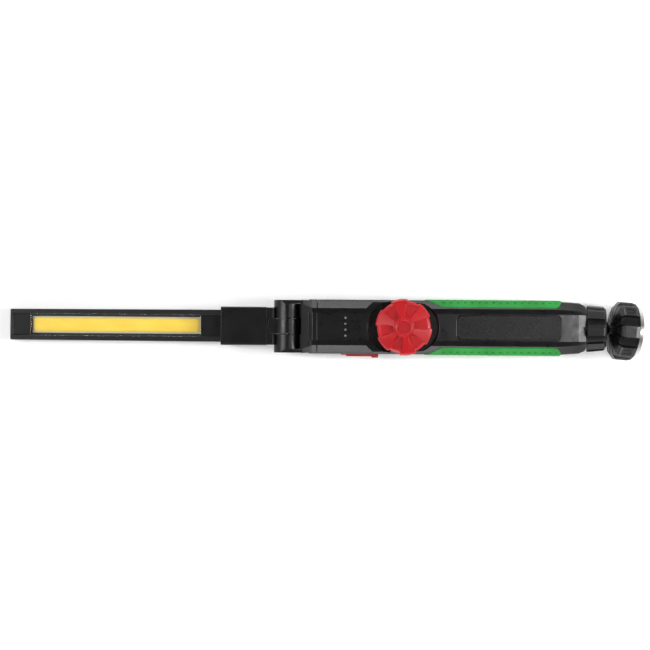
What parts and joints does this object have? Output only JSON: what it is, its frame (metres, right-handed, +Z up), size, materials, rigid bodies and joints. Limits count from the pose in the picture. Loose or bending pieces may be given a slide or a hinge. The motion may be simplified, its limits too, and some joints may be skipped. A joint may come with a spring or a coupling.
{
  "type": "folding inspection work light",
  "caption": "Slim cordless inspection light: a folding, swivelling strip lamp head, a rubber-gripped handle with a dimmer knob, and a magnet base on a ball joint.",
  "frame": {"origin": "centre of the light's footprint, on the bench that it lies on", "axes": "+X along the light from the lamp tip to the magnet base, +Z up from the bench with the knob and the lamp window on top, +Y towards the side away from the charging port; the light leans by 2.5 degrees about Y because it rests on the magnet base's rim and the back of the hinge yoke"},
  "size_m": [0.5382, 0.0512, 0.0539],
  "materials": {
    "dark_aluminium": "black anodised, satin",
    "black_plastic": "moulded black nylon, fine texture",
    "shell_plastic": "moulded black plastic, satin",
    "ball_plastic": "smooth moulded acetal",
    "label_grey": "speckled matt plate, blank",
    "white_board": "white solder mask",
    "yellow_phosphor": "cast silicone phosphor",
    "clear_window": "clear polycarbonate",
    "plated_steel": "nickel plated",
    "nylon": "natural nylon",
    "green_rubber": "soft moulded grip, satin",
    "red_plastic": "moulded, satin",
    "red_rubber": "soft moulded, satin",
    "circuit_board": "solder mask",
    "component_grey": "component housing",
    "battery_wrap": "shrink wrapped cell",
    "lead_insulation": "insulated wire",
    "ferrite": "sintered"
  },
  "bodies": {
    "handle": {"hinge_yoke": "black_plastic", "hinge_bolt": "plated_steel", "hinge_nut": "plated_steel", "friction_washers": "plated_steel", "front_shell": "shell_plastic", "rear_shell": "shell_plastic", "shell_screws": "plated_steel", "label_plate": "label_grey", "grip_upper": "green_rubber", "grip_lower": "green_rubber", "indicator_board": "circuit_board", "indicator_lenses": "clear_window", "control_board": "circuit_board", "dimmer_body": "component_grey", "dimmer_nut": "plated_steel", "battery_cell": "battery_wrap", "battery_tabs": "plated_steel", "battery_cradle": "black_plastic", "battery_leads": "lead_insulation", "charge_socket": "component_grey", "tail_socket": "black_plastic"},
    "neck": {"neck_knuckle": "black_plastic", "swivel_spindle": "plated_steel", "spindle_clip": "plated_steel", "swivel_washer": "ball_plastic"},
    "lamp_head": {"head_frame": "dark_aluminium", "tip_block": "black_plastic", "root_block": "black_plastic", "led_board": "white_board", "phosphor_strip": "yellow_phosphor", "head_lens": "clear_window", "head_screws": "plated_steel", "swivel_sleeve": "black_plastic"},
    "dimmer": {"knob": "red_plastic", "knob_cap": "red_plastic", "dimmer_shaft": "plated_steel"},
    "cover": {"port_cover": "red_rubber"},
    "collar": {"collar_nut": "black_plastic"},
    "ring": {"pressure_ring": "nylon"},
    "ball": {"ball_stud": "ball_plastic", "stud_washer": "plated_steel", "base_screw": "plated_steel"},
    "magnet_base": {"magnet_housing": "black_plastic", "magnet_ring": "ferrite", "steel_cup": "plated_steel"}
  },
  "joints": [
    {"name": "head_fold", "type": "hinge", "parent": "handle", "child": "neck", "pos_m": [-0.03437, 0, 0.01904], "axis": [0, 1, 0], "range_deg": [-90, 90]},
    {"name": "head_swivel", "type": "hinge", "parent": "neck", "child": "lamp_head", "pos_m": [-0.05165, 0, 0.01829], "axis": [0.999, 0, 0.0438], "range_deg": [-90, 90]},
    {"name": "dimmer_turn", "type": "hinge", "parent": "handle", "child": "dimmer", "pos_m": [0.06323, 0, 0.05335], "axis": [0.0438, 0, -0.999], "range_deg": [0, 280]},
    {"name": "cover_open", "type": "hinge", "parent": "handle", "child": "cover", "pos_m": [0.01219, -0.0226, 0.02108], "axis": [0.0438, 0, -0.999], "range_deg": [0, 100]},
    {"name": "collar_turn", "type": "hinge", "parent": "handle", "child": "collar", "pos_m": [0.22778, 0, 0.03053], "axis": [0.999, 0, 0.0438], "range_deg": [-15, 180]},
    {"name": "ball_roll", "type": "hinge", "parent": "handle", "child": "ring", "pos_m": [0.22928, 0, 0.03059], "axis": [0.999, 0, 0.0438], "continuous": true},
    {"name": "ball_tilt", "type": "hinge", "parent": "ring", "child": "ball", "pos_m": [0.22928, 0, 0.03059], "axis": [0.0131, 0.954, -0.2995], "range_deg": [-39, 6.5]},
    {"name": "base_spin", "type": "hinge", "parent": "ball", "child": "magnet_base", "pos_m": [0.22928, 0, 0.03059], "axis": [0.9707, -0.084, -0.225], "continuous": true}
  ]
}
